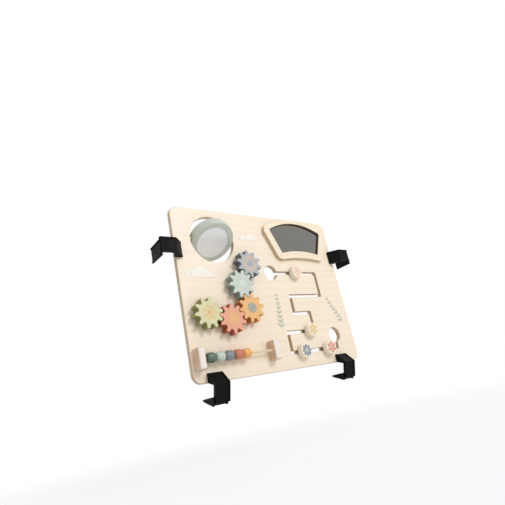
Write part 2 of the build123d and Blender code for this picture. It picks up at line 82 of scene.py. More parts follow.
def middle(node: str) -> Triple:
    """Get the middle of a CAD node's box, in metres."""
    low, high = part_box(node)
    return tuple((low + high) / 2)


class TreeBuilder:
    """Adds nodes and links to one shader or geometry tree."""

    def __init__(self, tree: Tree) -> None:
        """Start from a tree, which may be empty."""
        self.tree = tree

    def feed(self, target: Socket, value: object) -> None:
        """Give an input a link where the value is an output, and else a constant.

        Args:
            target: The input.
            value: An output, or a constant of the input's own kind.
        """
        if isinstance(value, Socket):
            self.tree.links.new(value, target)
        else:
            target.default_value = value

    def make(self, kind: str, inputs: dict[str | int, object] | None = None, **settings: object) -> Node:
        """Add a node and feed its inputs.

        Args:
            kind: Blender's type name of the node.
            inputs: Values or outputs for the inputs, by their names or numbers.
            **settings: Properties of the node, such as its operation.

        Returns:
            The new node.
        """
        node = self.tree.nodes.new(kind)
        for key, value in settings.items():
            setattr(node, key, value)
        for key, value in (inputs or {}).items():
            self.feed(node.inputs[key], value)
        return node

    def calc(self, operation: str, *values: object) -> Socket:
        """Add a math node on one to three numbers or outputs."""
        return self.make("ShaderNodeMath", dict(enumerate(values)), operation=operation).outputs[0]

    def mean(self, first: Socket, second: Socket, share: float) -> Socket:
        """Add the mean of two outputs, of which the first has the given share."""
        return self.calc("MULTIPLY_ADD", first, share, self.calc("MULTIPLY", second, 1.0 - share))

    def ramp(self, value: object, span: Span, ends: Span = UNIT) -> Socket:
        """Add a smooth step from one end to the other, over a span of the value."""
        limits = dict(enumerate((value, *span, *ends)))
        return self.make("ShaderNodeMapRange", limits, interpolation_type="SMOOTHSTEP").outputs[0]

    def mix(self, factor: object, first: object, second: object) -> Socket:
        """Add a colour mix, in which the factor is the second colour's share."""
        inputs = dict(zip(COLOUR_MIX_INPUTS, (factor, first, second)))
        return self.make("ShaderNodeMix", inputs, data_type="RGBA").outputs[COLOUR_MIX_RESULT]

    def blend(self, value: Socket, first: object, second: object, span: Span = NOISE_SPAN,
              share: float = 1.0) -> Socket:
        """Mix two colours by where a value lies in a span, up to the second one's greatest share."""
        return self.mix(self.ramp(value, span, (0.0, share)), first, second)

    def noise(self, vector: Socket, scale: float = 1.0, detail: float = 2.0) -> Socket:
        """Add a noise about one half, with its waves per unit and its number of finer layers."""
        inputs = {"Vector": vector, "Scale": scale, "Detail": detail}
        return self.make("ShaderNodeTexNoise", inputs).outputs[0]

    def stretched(self, vector: Socket, scale: Triple) -> Socket:
        """Scale coordinates, so that a pattern is drawn out along the axis with the smallest number."""
        return self.make("ShaderNodeMapping", {"Vector": vector, "Scale": scale}).outputs[0]

    def axes(self, vector: Socket) -> Sockets:
        """Take a vector apart into outputs named X, Y and Z."""
        return self.make("ShaderNodeSeparateXYZ", {"Vector": vector}).outputs


class GroupBuilder(TreeBuilder):
    """Builds one node group with named inputs and outputs."""

    def __init__(self, kind: str, name: str, inputs: dict[str, str], outputs: dict[str, str]) -> None:
        """Make the group and its sockets.

        Args:
            kind: Shader or Geometry.
            name: Name of the group.
            inputs: Kinds of the inputs, such as Float, by name.
            outputs: Kinds of the outputs, by name.
        """
        super().__init__(bpy.data.node_groups.new(name, f"{kind}NodeTree"))
        for way, sockets in (("INPUT", inputs), ("OUTPUT", outputs)):
            for label, socket in sockets.items():
                self.tree.interface.new_socket(name=label, in_out=way, socket_type=f"NodeSocket{socket}")
        self.given = self.make("NodeGroupInput").outputs

    def put_out(self, **values: Socket) -> Tree:
        """Feed the group's outputs by their names and get the finished group."""
        self.make("NodeGroupOutput", values)
        return self.tree


def floats(*names: str) -> dict[str, str]:
    """Name sockets that all hold a number."""
    return dict.fromkeys(names, "Float")


def make_grain(name: str) -> Tree:
    """Make the group of long wood figure, fine streaks and pores.

    Args:
        name: Name of the group.

    Returns:
        The group, whose coordinates come in already stretched along the wood.
    """
    build = GroupBuilder("Shader", name, {"Vector": "Vector"}, floats("Figure", "Streak", "Pore"))
    at = build.given["Vector"]
    rings = build.make(
        "ShaderNodeTexWave",
        {"Vector": at, "Scale": 0.22, "Distortion": 5.0, "Detail": 2.0, "Detail Scale": 0.8},
        wave_type="BANDS", bands_direction="Z", wave_profile="SIN",
    )
    cloud = build.noise(at, scale=0.7, detail=3.0)
    return build.put_out(
        Figure=build.mean(rings.outputs["Fac"], cloud, share=0.4),
        Streak=build.noise(at, scale=3.0, detail=4.0),
        Pore=build.ramp(build.noise(at, scale=9.0), span=(0.56, 0.7)),
    )


def make_plies(name: str) -> Tree:
    """Make the group of plywood layers.

    Args:
        name: Name of the group.

    Returns:
        The group, whose input counts the plies from the front face.
    """
    build = GroupBuilder("Shader", name, floats("Depth"), floats("Cross", "Glue"))
    depth = build.given["Depth"]
    part = build.calc("FRACT", depth)
    edge = build.calc("MINIMUM", part, build.calc("SUBTRACT", 1.0, part))
    return build.put_out(
        Cross=build.calc("MODULO", build.calc("FLOOR", depth), 2.0),
        Glue=build.ramp(edge, span=(0.03, 0.14), ends=(1.0, 0.0)),
    )


def make_coat(name: str) -> Tree:
    """Make the group of a brushed coat: cloudy shade, fine peel and faint grain below it.

    Args:
        name: Name of the group.

    Returns:
        The group, on coordinates in metres.
    """
    build = GroupBuilder("Shader", name, {"Vector": "Vector"}, floats("Shade", "Height", "Gloss"))
    at = build.given["Vector"]
    grain = build.noise(build.stretched(at, (50.0, 620.0, 620.0)), detail=3.0)
    cloud = build.noise(at, scale=60.0, detail=3.0)
    peel = build.noise(at, scale=1500.0, detail=1.0)
    return build.put_out(
        Shade=build.ramp(build.mean(grain, cloud, share=0.55), NOISE_SPAN),
        Height=build.mean(grain, peel, share=0.65),
        Gloss=build.noise(at, scale=170.0),
    )


def make_facing(name: str) -> Tree:
    """Make the group that tells the broad faces from the cut edges.

    Args:
        name: Name of the group.

    Returns:
        The group, with a mask of faces that look to the front or the back and one of the front alone.
    """
    build = GroupBuilder("Shader", name, {"Normal": "Vector"}, floats("Broad", "Front"))
    outward = build.calc("MULTIPLY", build.axes(build.given["Normal"])["Y"], -1.0)
    return build.put_out(
        Broad=build.ramp(build.calc("ABSOLUTE", outward), span=(0.5, 0.8)),
        Front=build.ramp(outward, span=(0.45, 0.75)),
    )


class SharedTree(Enum):
    """Node groups that are made at their first use."""

    def __init__(self, label: str, maker: Callable[[str], Tree]) -> None:
        """Keep a group's name and the function that makes it under that name."""
        self.label = label
        self.maker = maker

    def tree(self) -> Tree:
        """Get the node group, made at the first call."""
        return bpy.data.node_groups.get(self.label) or self.maker(self.label)


class Pattern(SharedTree):
    """Surface patterns that several finishes share."""

    GRAIN = ("wood_grain", make_grain)
    PLIES = ("ply_layers", make_plies)
    COAT = ("brushed_coat", make_coat)
    FACING = ("front_and_back_faces", make_facing)


class MaterialBuilder(TreeBuilder):
    """Builds one material on its Principled shader and object coordinates."""

    def __init__(self, material: bpy.types.Material) -> None:
        """Take a new material and find its shader.

        Args:
            material: The material, still without nodes.
        """
        material.use_nodes = True
        super().__init__(material.node_tree)
        self.shader = material.node_tree.nodes["Principled BSDF"]
        place = self.make("ShaderNodeTexCoord").outputs
        self.at = place["Object"]
        self.normal = place["Normal"]

    def pattern(self, kind: Pattern, **inputs: object) -> Sockets:
        """Place a shared pattern, with values for its inputs, and get its outputs."""
        return self.make("ShaderNodeGroup", inputs, node_tree=kind.tree()).outputs

    def grain(self, along: Triple) -> Sockets:
        """Place the wood grain, drawn out along the axis with the smallest number."""
        return self.pattern(Pattern.GRAIN, Vector=self.stretched(self.at, along))

    def coat(self) -> Sockets:
        """Place the brushed coat."""
        return self.pattern(Pattern.COAT, Vector=self.at)

    def facing(self) -> Sockets:
        """Place the masks of broad and front faces on the object's own normals."""
        return self.pattern(Pattern.FACING, Normal=self.normal)

    def surface(self, **inputs: object) -> None:
        """Feed the shader's inputs, with spaces in their names written as underscores."""
        for key, value in inputs.items():
            self.feed(self.shader.inputs[key.replace("_", " ")], value)

    def bump(self, height: Socket, relief: Span) -> None:
        """Raise the surface by a height from 0 to 1, with a depth in metres and the share that shows."""
        inputs = dict(zip(("Height", "Distance", "Strength"), (height, *relief)))
        self.surface(Normal=self.make("ShaderNodeBump", inputs).outputs[0])


@dataclass(frozen=True, kw_only=True)
class Finish:
    """A finish with a name, which its material takes."""

    name: str

    def material(self) -> bpy.types.Material:
        """Get the finish's material, made at the first call.

        Returns:
            The material.
        """
        found = bpy.data.materials.get(self.name)
        if found:
            return found
        made = bpy.data.materials.new(self.name)
        self.paint(MaterialBuilder(made))
        return made

    def paint(self, build: MaterialBuilder) -> None:
        """Add the finish's shader nodes."""
        raise NotImplementedError

    def lay_on(self, *names: str) -> None:
        """Give the finish to CAD nodes.

        Args:
            *names: The nodes' names.
        """
        for name in names:
            for slot in NODES[name].material_slots:
                slot.material = self.material()
            log.info("%s: %s", name, self.name)


@dataclass(frozen=True, kw_only=True)
class Plywood(Finish):
    """Lacquered plywood: figured faces, layered edges."""

    face: Colour
    figure: Colour
    edge: Colour
    cross_edge: Colour
    glue: Colour
    front: float
    ply: float
    along: Triple = (8.0, 95.0, 95.0)
    figure_span: Span = (0.15, 0.9)
    streak_span: Span = (0.45, 0.75)
    streak_share: float = 0.4
    streak_shade: float = 0.95
    fibres: Triple = (140.0, 900.0, 140.0)
    fray_span: Span = (0.35, 0.75)
    fray_share: float = 0.55
    fray_shade: float = 0.82
    glue_share: float = 0.75
    opening: Triple | None = None
    # Painted shade on walls that face the opening's middle: its tone, and the span of facing over which it
    # sets in.
    scorch: Colour = screen(120, 94, 66)
    scorch_span: Span = (0.0, 8.0 * MM)
    roughness: Span = (0.42, 0.54)
    coat: float = 0.12
    coat_roughness: float = 0.3
    relief: Span = (0.12 * MM, 0.35)

    def scorched(self, build: MaterialBuilder, cut: Socket) -> Socket:
        """Darken the walls that look to the middle of an opening with painted shade.

        Args:
            build: Builder of the material.
            cut: Colour of the cut edges.

        Returns:
            The colour of the cut edges with painted shade on the opening's walls.
        """
        inward = build.make("ShaderNodeVectorMath", {0: self.opening, 1: build.at}, operation="SUBTRACT")
        pair = {0: inward.outputs[0], 1: build.normal}
        towards = build.make("ShaderNodeVectorMath", pair, operation="DOT_PRODUCT").outputs["Value"]
        return build.blend(towards, cut, self.scorch, self.scorch_span)

    def layered(self, build: MaterialBuilder) -> Socket:
        """Add the colour of the cut edges.

        Args:
            build: Builder of the material.

        Returns:
            The colour, with plies, fibres and glue lines.
        """
        inside = build.calc("SUBTRACT", build.axes(build.at)["Y"], self.front)
        plies = build.pattern(Pattern.PLIES, Depth=build.calc("DIVIDE", inside, self.ply))
        layer = build.mix(plies["Cross"], self.edge, self.cross_edge)
        fibre = build.noise(build.stretched(build.at, self.fibres), detail=3.0)
        shade = shaded(self.cross_edge, self.fray_shade)
        frayed = build.blend(fibre, layer, shade, self.fray_span, self.fray_share)
        return build.mix(build.calc("MULTIPLY", plies["Glue"], self.glue_share), frayed, self.glue)

    def paint(self, build: MaterialBuilder) -> None:
        """Add the finish's shader nodes.

        Args:
            build: Builder of the material.
        """
        grain = build.grain(self.along)
        wood = build.blend(grain["Figure"], self.face, self.figure, self.figure_span)
        shade = shaded(self.figure, self.streak_shade)
        streaked = build.blend(grain["Streak"], wood, shade, self.streak_span, self.streak_share)
        cut = self.layered(build)
        # Painted shade on the inner walls of an opening.
        if self.opening:
            cut = self.scorched(build, cut)
        build.surface(
            Base_Color=build.mix(build.facing()["Broad"], cut, streaked),
            Roughness=build.ramp(grain["Pore"], UNIT, self.roughness),
            Coat_Weight=self.coat, Coat_Roughness=self.coat_roughness,
        )
        build.bump(build.calc("SUBTRACT", grain["Streak"], grain["Pore"]), self.relief)


@dataclass(frozen=True, kw_only=True)
class PlainWood(Finish):
    """Bare wood, with its grain along one axis."""

    pale: Colour
    dark: Colour
    along: Triple
    figure_span: Span = (0.25, 0.8)
    pore_share: float = 0.45
    pore_shade: float = 0.72
    roughness: Span = (0.47, 0.63)
    relief: Span = (0.15 * MM, 0.4)

    def bare(self, build: MaterialBuilder, grain: Sockets) -> Socket:
        """Add the colour of the bare wood.

        Args:
            build: Builder of the material.
            grain: Outputs of the wood grain.

        Returns:
            The colour, with figure and pores.
        """
        wood = build.blend(grain["Figure"], self.pale, self.dark, self.figure_span)
        pores = build.calc("MULTIPLY", grain["Pore"], self.pore_share)
        return build.mix(pores, wood, shaded(self.dark, self.pore_shade))

    def paint(self, build: MaterialBuilder) -> None:
        """Add the finish's shader nodes.

        Args:
            build: Builder of the material.
        """
        grain = build.grain(self.along)
        rough = build.ramp(grain["Streak"], NOISE_SPAN, self.roughness)
        build.surface(Base_Color=self.bare(build, grain), Roughness=rough)
        build.bump(grain["Streak"], self.relief)


@dataclass(frozen=True, kw_only=True)
class FacedWood(PlainWood):
    """Wood with its grain bare at the sides and its front painted; roughness runs from side to front. The
    sides' darker tone is partly the wood and partly painted shade.
    """

    front: Colour
    front_shade: float = 0.96
    figure_span: Span = (0.2, 0.8)
    pore_share: float = 0.5
    pore_shade: float = 0.75
    roughness: Span = (0.55, 0.4)
    relief: Span = (0.12 * MM, 0.3)

    def paint(self, build: MaterialBuilder) -> None:
        """Add the finish's shader nodes.

        Args:
            build: Builder of the material.
        """
        grain = build.grain(self.along)
        face = build.mix(build.coat()["Shade"], shaded(self.front, self.front_shade), self.front)
        front = build.facing()["Front"]
        rough = build.ramp(front, UNIT, self.roughness)
        build.surface(Base_Color=build.mix(front, self.bare(build, grain), face), Roughness=rough)
        build.bump(grain["Streak"], self.relief)


@dataclass(frozen=True, kw_only=True)
class SatinPaint(Finish):
    """Satin paint on wood, with a shade that varies a little and the grain just showing."""

    colour: Colour
    swing: float = 0.06
    roughness: Span = (0.35, 0.47)
    coat: float = 0.18
    coat_roughness: float = 0.25
    relief: Span = (0.1 * MM, 0.3)

    def swung(self, build: MaterialBuilder, shade: Socket, colour: Colour) -> Socket:
        """Let a colour vary with the coat's shade."""
        return build.mix(shade, shaded(colour, 1 - self.swing), shaded(colour, 1 + self.swing))

    def tone(self, build: MaterialBuilder, shade: Socket) -> Socket:
        """Add the paint's colour on the coat's shade."""
        return self.swung(build, shade, self.colour)

    def paint(self, build: MaterialBuilder) -> None:
        """Add the finish's shader nodes.

        Args:
            build: Builder of the material.
        """
        coat = build.coat()
        build.surface(
            Base_Color=self.tone(build, coat["Shade"]),
            Roughness=build.ramp(coat["Gloss"], NOISE_SPAN, self.roughness),
            Coat_Weight=self.coat, Coat_Roughness=self.coat_roughness,
        )
        build.bump(coat["Height"], self.relief)


@dataclass(frozen=True, kw_only=True)
class FacedPaint(SatinPaint):
    """Satin paint with a paler tone on the front than on the cut sides; the sides' darker tone is partly
    two-tone paint and partly painted shade.
    """

    side: Colour
    swing: float = 0.05
    roughness: Span = (0.37, 0.49)
    coat: float = 0.12
    coat_roughness: float = 0.3

    def tone(self, build: MaterialBuilder, shade: Socket) -> Socket:
        """Add the paint's two tones on the coat's shade."""
        tones = (self.swung(build, shade, colour) for colour in (self.side, self.colour))
        # The darker side tone carries painted shade.
        return build.mix(build.facing()["Front"], *tones)


@dataclass(frozen=True, kw_only=True)
class Ink(SatinPaint):
    """Printed ink without a varnish, which lets a little of the ground through."""

    ground: Colour
    show: float = 0.2
    show_span: Span = (0.2, 0.9)
    roughness: Span = (0.42, 0.54)
    coat: float = 0.0
    relief: Span = (0.08 * MM, 0.3)

    def tone(self, build: MaterialBuilder, shade: Socket) -> Socket:
        """Add the ink's colour and what shows of the ground, on the coat's shade."""
        return build.blend(shade, self.colour, self.ground, self.show_span, self.show)


@dataclass(frozen=True, kw_only=True)
class Clouded(Finish):
    """Plastic, plated steel or silvered acrylic, with a tone and a gloss that vary in clouds."""

    colour: Colour
    shades: Span
    cloud: float
    roughness: Span
    rough_span: Span = NOISE_SPAN
    metal: float = 0.0
    gloss: float = 0.5
    coat: float = 0.0
    coat_roughness: float = 0.04
    texture: Triple | None = None
    relief: Span = (0.0, 0.0)

    def paint(self, build: MaterialBuilder) -> None:
        """Add the finish's shader nodes.

        Args:
            build: Builder of the material.
        """
        cloud = build.noise(build.at, self.cloud, detail=3.0)
        tones = (shaded(self.colour, shade) for shade in self.shades)
        build.surface(
            Base_Color=build.blend(cloud, *tones), Metallic=self.metal, Specular_IOR_Level=self.gloss,
            Roughness=build.ramp(cloud, self.rough_span, self.roughness),
            Coat_Weight=self.coat, Coat_Roughness=self.coat_roughness,
        )
        if self.texture:
            build.bump(build.noise(build.stretched(build.at, self.texture)), self.relief)


BIRCH = screen(247, 234, 214)
CREAM = screen(246, 236, 218)

BIRCH_PLY = Plywood(
    name="birch_ply", face=BIRCH, figure=screen(244, 228, 206), edge=screen(228, 205, 172),
    cross_edge=screen(208, 180, 144), glue=screen(172, 141, 106), front=-5.0 * MM, ply=10.0 / 7 * MM,
)
# The frame's walls round its opening carry painted shade.
FRAME_PLY = Plywood(
    name="frame_ply", face=screen(246, 234, 213), figure=screen(242, 225, 199), edge=screen(226, 202, 168),
    cross_edge=screen(206, 178, 142), glue=screen(172, 141, 106), front=-13.0 * MM, ply=1.6 * MM,
    opening=middle("window_plate"),
)
WASHER_PLY = Plywood(
    name="washer_ply", face=screen(232, 207, 172), figure=screen(218, 188, 148), edge=screen(190, 156, 116),
    cross_edge=screen(158, 120, 84), glue=screen(118, 84, 56), front=-40.0 * MM, ply=0.7 * MM,
    along=(20.0, 220.0, 220.0),
)
ROD_WOOD = PlainWood(
    name="rod_wood", pale=screen(244, 228, 203), dark=screen(230, 207, 174), along=(20.0, 300.0, 300.0)
)
DOWEL_WOOD = PlainWood(
    name="dowel_wood", pale=screen(226, 196, 156), dark=screen(202, 166, 122), along=(300.0, 40.0, 300.0)
)
# White front; the sides' darker wood tones are partly painted shade.
POST_WOOD = FacedWood(
    name="faced_post", front=screen(243, 235, 228), pale=screen(231, 208, 181), dark=screen(214, 185, 152),
    along=(220.0, 220.0, 26.0),
)
BLACK_PLASTIC = Clouded(
    name="black_moulding", colour=screen(13, 12, 12), shades=(0.85, 1.2), cloud=90.0, roughness=(0.49, 0.63),
    gloss=0.1, texture=(2600.0, 2600.0, 2600.0), relief=(0.08 * MM, 0.45),
)
BUSH_PLASTIC = replace(
    BLACK_PLASTIC, name="bush_moulding", colour=screen(226, 221, 208), roughness=(0.36, 0.5), gloss=0.5
)
MIRROR = Clouded(
    name="silvered_acrylic", colour=screen(253, 254, 255), shades=(0.97, 1.0), cloud=55.0,
    roughness=(0.6, 0.75), rough_span=(0.3, 0.8), metal=0.5, coat=1.0,
)
SMOKY_PLATE = replace(
    MIRROR, name="smoky_acrylic", colour=screen(111, 109, 103), roughness=(0.13, 0.1625), metal=1.0
)
STEEL = Clouded(
    name="zinc_steel", colour=screen(190, 190, 186), shades=(0.82, 1.0), cloud=420.0, roughness=(0.28, 0.42),
    metal=1.0, texture=(700.0, 6000.0, 700.0), relief=(0.03 * MM, 0.4),
)
SAGE = SatinPaint(name="satin_sage", colour=screen(200, 207, 197))
KNOB_PAINT = SatinPaint(name="satin_cream", colour=CREAM, swing=0.04)


class Piece(Enum):
    """Pieces of one kind, each with a node that is named for its kind and itself."""

    @property
    def node(self) -> str:
        """Name of the piece's node and of its body."""
        return f"{type(self).__name__}_{self.name}".lower()


class Gear(Piece):
    """The five gears: names of slot and paint, and the tones of face and sides; the darker side tones are
    partly a second paint and partly painted shade.
    """

    BLUE = ("blue", "blue", screen(174, 175, 179), screen(104, 110, 122))
    MINT = ("mint", "mint", screen(200, 209, 200), screen(144, 166, 157))
    ORANGE = ("orange", "orange", screen(231, 182, 119), screen(204, 126, 52))
    RED = ("red", "terracotta", screen(232, 166, 134), screen(172, 78, 54))
    GREEN = ("lime", "lime", screen(214, 211, 166), screen(146, 147, 86))

    def __init__(self, slot: str, paint: str, face: Colour, side: Colour) -> None:
        """Name the record's material slot and make the gear's paint."""
        self.slot = f"{slot}_paint"
        self.paint = FacedPaint(name=f"satin_{paint}", colour=face, side=side)


class Bead(Piece):
    """The five beads in their order on the rod: names of paint, and colours."""

    GREEN = ("forest", screen(84, 108, 91))
    MINT = ("pale_mint", screen(196, 207, 196))
    BLUE = ("slate", screen(128, 136, 137))
    RED = ("brick", screen(195, 116, 84))
    ORANGE = ("amber", screen(238, 174, 96))

    def __init__(self, paint: str, colour: Colour) -> None:
        """Make the bead's paint, glossier than the others."""
        self.paint = SatinPaint(name=f"satin_{paint}", colour=colour, coat=0.35)


@dataclass(frozen=True)
class Rosette:
    """A printed rosette: its petals, in millimetres, and its tones."""

    petals: int
    length: float
    width: float
    tone: Colour
    middle: Colour


class Flower(Piece):
    """The four knobs of the maze, each with its rosette."""

    PEACH = Rosette(7, 9.2, 8.6, screen(236, 204, 178), screen(226, 176, 136))
    YELLOW = Rosette(6, 8.6, 9.4, screen(229, 198, 126), screen(208, 164, 92))
    BLUE = Rosette(8, 9.2, 7.8, screen(122, 140, 156), screen(176, 188, 194))
    RED = Rosette(6, 9.2, 9.8, screen(217, 136, 122), screen(198, 108, 96))


class Slab:
    """Collects flat printed shapes, drawn in a plane and raised by a hair, in one mesh."""

    def __init__(self) -> None:
        """Start with nothing."""
        self.mesh = bmesh.new()

    def loop(self, outline: Outline, height: float) -> list[bmesh.types.BMVert]:
        """Add an outline's corners at a height."""
        return [self.mesh.verts.new((x, y, height)) for x, y in outline]

    def wall(self, first: list[bmesh.types.BMVert], second: list[bmesh.types.BMVert]) -> None:
        """Join two closed loops of as many corners by four-sided faces."""
        for i in range(len(first)):
            self.mesh.faces.new((first[i - 1], first[i], second[i], second[i - 1]))

    def prism(self, outline: Outline, height: float) -> None:
        """Add a closed shape that stands on the drawing plane.

        Args:
            outline: Corners of the shape, anticlockwise, in metres.
            height: Height of its top.
        """
        below = self.loop(outline, 0.0)
        above = self.loop(outline, height)
        self.mesh.faces.new(above)
        self.mesh.faces.new(below[::-1])
        self.wall(below, above)

    def band(self, outer: Outline, inner: Outline, height: float) -> None:
        """Add a closed band between two outlines of as many corners.

        Args:
            outer: Corners of the outer edge, anticlockwise, in metres.
            inner: Corners of the inner edge, anticlockwise, in metres.
            height: Height of its top.
        """
        edges = ((outer, 0.0), (outer, height), (inner, height), (inner, 0.0))
        loops = [self.loop(*edge) for edge in edges]
        for first, second in zip(loops, loops[1:] + loops[:1]):
            self.wall(first, second)

    def finish(self, name: str) -> Mesh:
        """Turn the shapes into a mesh.

        Args:
            name: Name of the mesh.

        Returns:
            The mesh, on the drawing plane.
        """
        made = bpy.data.meshes.new(name)
        self.mesh.to_mesh(made)
        self.mesh.free()
        return made


def circle(radius: float, x: float = 0.0, y: float = 0.0) -> Outline:
    """Get the points of a circle about a point, anticlockwise from its right."""
    angles = (math.tau * i / CIRCLE_POINTS for i in range(CIRCLE_POINTS))
    return [(x + radius * math.cos(a), y + radius * math.sin(a)) for a in angles]


def arch(radius: float, x: float, y: float) -> Outline:
    """Get the upper half of a circle about a point, with both its ends."""
    return circle(radius, x, y)[:CIRCLE_POINTS // 2 + 1]


def placed(data: bpy.types.ID) -> bpy.types.Object:
    """Put new data into the scene as an object of the same name.

    Args:
        data: A mesh, a lamp or a camera.

    Returns:
        The object.
    """
    made = bpy.data.objects.new(data.name, data)
    bpy.context.scene.collection.objects.link(made)
    return made


def on_face(x: float, y: float, z: float, turn: float = 0.0) -> Matrix:
    """Place a drawing plane on a surface that looks to the front, turned anticlockwise in degrees."""
    facing = Matrix(((1, 0, 0), (0, 0, -1), (0, 1, 0))).to_4x4()
    return Matrix.Translation((x, y, z)) @ facing @ Matrix.Rotation(math.radians(turn), 4, "Z")


class MotifBuilder(GroupBuilder):
    """Builds the geometry tree of one repeating print, with its sizes as inputs."""

    def __init__(self, name: str, *sizes: str) -> None:
        """Make the tree with a count, its own sizes, a thickness and a material."""
        inputs = {"Count": "Int", **floats(*sizes, "Thickness"), "Material": "Material"}
        super().__init__("Geometry", name, inputs, {"Geometry": "Geometry"})

    def half(self, value: Socket) -> Socket:
        """Halve an output."""
        return self.calc("MULTIPLY", value, 0.5)

    def vector(self, x: object = 0.0, y: object = 0.0, z: object = 0.0) -> Socket:
        """Combine three numbers or outputs into a vector."""
        return self.make("ShaderNodeCombineXYZ", {"X": x, "Y": y, "Z": z}).outputs[0]

    def index(self) -> Socket:
        """Get each point's number."""
        return self.make("GeometryNodeInputIndex").outputs[0]

    def position(self) -> Sockets:
        """Get each point's place as outputs named X, Y and Z."""
        return self.axes(self.make("GeometryNodeInputPosition").outputs[0])

    def plate(self, sides: int) -> Socket:
        """Add a round plate of unit radius and of the tree's thickness."""
        sizes = {"Vertices": sides, "Radius": 1.0, "Depth": self.given["Thickness"]}
        return self.make("GeometryNodeMeshCylinder", sizes).outputs["Mesh"]

    def shaped(self, shape: Socket, at: Sockets, across: Socket) -> Socket:
        """Move a shape's points from their places to a new Y."""
        moved = {"Geometry": shape, "Position": self.vector(at["X"], across, at["Z"])}
        return self.make("GeometryNodeSetPosition", moved).outputs[0]

    def laid(self, shape: Socket, along: Socket, scale: object = (1.0, 1.0, 1.0)) -> Socket:
        """Scale a shape, move it along X and stand it on the drawing plane."""
        place = {"Translation": self.vector(along, 0.0, self.half(self.given["Thickness"])), "Scale": scale}
        return self.make("GeometryNodeTransform", {"Geometry": shape, **place}).outputs[0]

    def around(self, shape: Socket) -> Socket:
        """Repeat a shape at equal angles about the origin.

        Args:
            shape: The shape, already at its distance from the origin.

        Returns:
            As many instances as the tree's count says.
        """
        count = self.given["Count"]
        points = self.make("GeometryNodePoints", {"Count": count}).outputs[0]
        angle = self.calc("DIVIDE", self.calc("MULTIPLY", self.index(), math.tau), count)
        placing = {"Points": points, "Instance": shape, "Rotation": self.vector(z=angle)}
        return self.make("GeometryNodeInstanceOnPoints", placing).outputs[0]

    def end(self, *parts: Socket) -> Tree:
        """Join the tree's parts, make them real and set their material.

        Args:
            *parts: The geometry to join.

        Returns:
            The finished tree.
        """
        joined = self.make("GeometryNodeJoinGeometry")
        for part in parts:
            self.feed(joined.inputs[0], part)
        real = self.make("GeometryNodeRealizeInstances", {"Geometry": joined.outputs[0]}).outputs[0]
        dressing = {"Geometry": real, "Material": self.given["Material"]}
        return self.put_out(Geometry=self.make("GeometryNodeSetMaterial", dressing).outputs[0])


def make_petals(name: str) -> Tree:
    """Make the tree of a ring of petals, narrower towards the middle.

    Args:
        name: Name of the tree.

    Returns:
        The tree.
    """
    build = MotifBuilder(name, "Inner", "Length", "Width")
    size = build.given
    at = build.position()
    inner_width = 0.28
    taper = build.calc("MULTIPLY_ADD", at["X"], (1 - inner_width) / 2, (1 + inner_width) / 2)
    petal = build.shaped(build.plate(sides=28), at, build.calc("MULTIPLY", at["Y"], taper))
    reach = build.half(size["Length"])
    scale = build.vector(reach, build.half(size["Width"]), 1.0)
    return build.end(build.around(build.laid(petal, build.calc("ADD", size["Inner"], reach), scale)))


def make_dots(name: str) -> Tree:
    """Make the tree of a ring of dots.

    Args:
        name: Name of the tree.

    Returns:
        The tree.
    """
    build = MotifBuilder(name, "Ring", "Radius")
    size = build.given
    scale = build.vector(size["Radius"], size["Radius"], 1.0)
    return build.end(build.around(build.laid(build.plate(sides=18), size["Ring"], scale)))


def make_ear(name: str) -> Tree:
    """Make the tree of an ear: pairs of pointed leaves along a straight stem, smaller towards its tip.

    Args:
        name: Name of the tree.

    Returns:
        The tree.
    """
    build = MotifBuilder(name, "Pitch", "Leaf", "Width", "Splay", "Taper", "Stem")
    size = build.given
    at = build.position()
    pointed = build.calc("MULTIPLY", at["Y"], build.calc("ABSOLUTE", at["Y"]))
    reach = build.half(size["Leaf"])
    scale = build.vector(reach, build.half(size["Width"]), 1.0)
    leaf = build.laid(build.shaped(build.plate(sides=20), at, pointed), reach, scale)
    row = {"Count": size["Count"], "Offset": build.vector(size["Pitch"])}
    points = build.make("GeometryNodeMeshLine", row, mode="OFFSET").outputs[0]
    shrink = build.calc("SUBTRACT", 1.0, build.calc("MULTIPLY", build.index(), size["Taper"]))
    parts = []
    for side in (1.0, -1.0):
        pairs = build.make("GeometryNodeInstanceOnPoints", {
            "Points": points, "Instance": leaf, "Scale": build.vector(shrink, shrink, 1.0),
            "Rotation": build.vector(z=build.calc("MULTIPLY", size["Splay"], side)),
        })
        parts.append(pairs.outputs[0])
    run = build.calc("MULTIPLY", size["Count"], size["Pitch"])
    bar = build.make("GeometryNodeMeshCube", {"Size": build.vector(run, size["Stem"], size["Thickness"])})
    centre = build.calc("SUBTRACT", build.half(run), build.half(size["Pitch"]))
    return build.end(*parts, build.laid(bar.outputs["Mesh"], centre))


class Motif(SharedTree):
    """Repeating prints."""

    PETALS = ("petal_ring", make_petals)
    DOTS = ("dot_ring", make_dots)
    EAR = ("leaf_ear", make_ear)

    def draw(self, name: str, finish: Finish, **sizes: float) -> Mesh:
        """Run the motif's tree and keep its result as a plain mesh.

        Args:
            name: Name of the mesh.
            finish: Finish that the tree sets.
            **sizes: The tree's named inputs.

        Returns:
            The mesh, on the drawing plane.
        """
        seed = bpy.data.meshes.new(f"{name}_seed")
        carrier = placed(seed)
        modifier = carrier.modifiers.new("motif", "NODES")
        modifier.node_group = self.tree()
        values = {**sizes, "Material": finish.material()}
        for item in modifier.node_group.interface.items_tree:
            if item.in_out == "INPUT":
                modifier[item.identifier] = values[item.name]
        seen = carrier.evaluated_get(bpy.context.evaluated_depsgraph_get())
        made = bpy.data.meshes.new_from_object(seen)
        made.name = name
        carrier.modifiers.remove(modifier)
        bpy.data.objects.remove(carrier)
        bpy.data.meshes.remove(seed)
        return made


class Side(Enum):
    """The board's two sides, seen from the front."""

    LEFT = "left"
    RIGHT = "right"


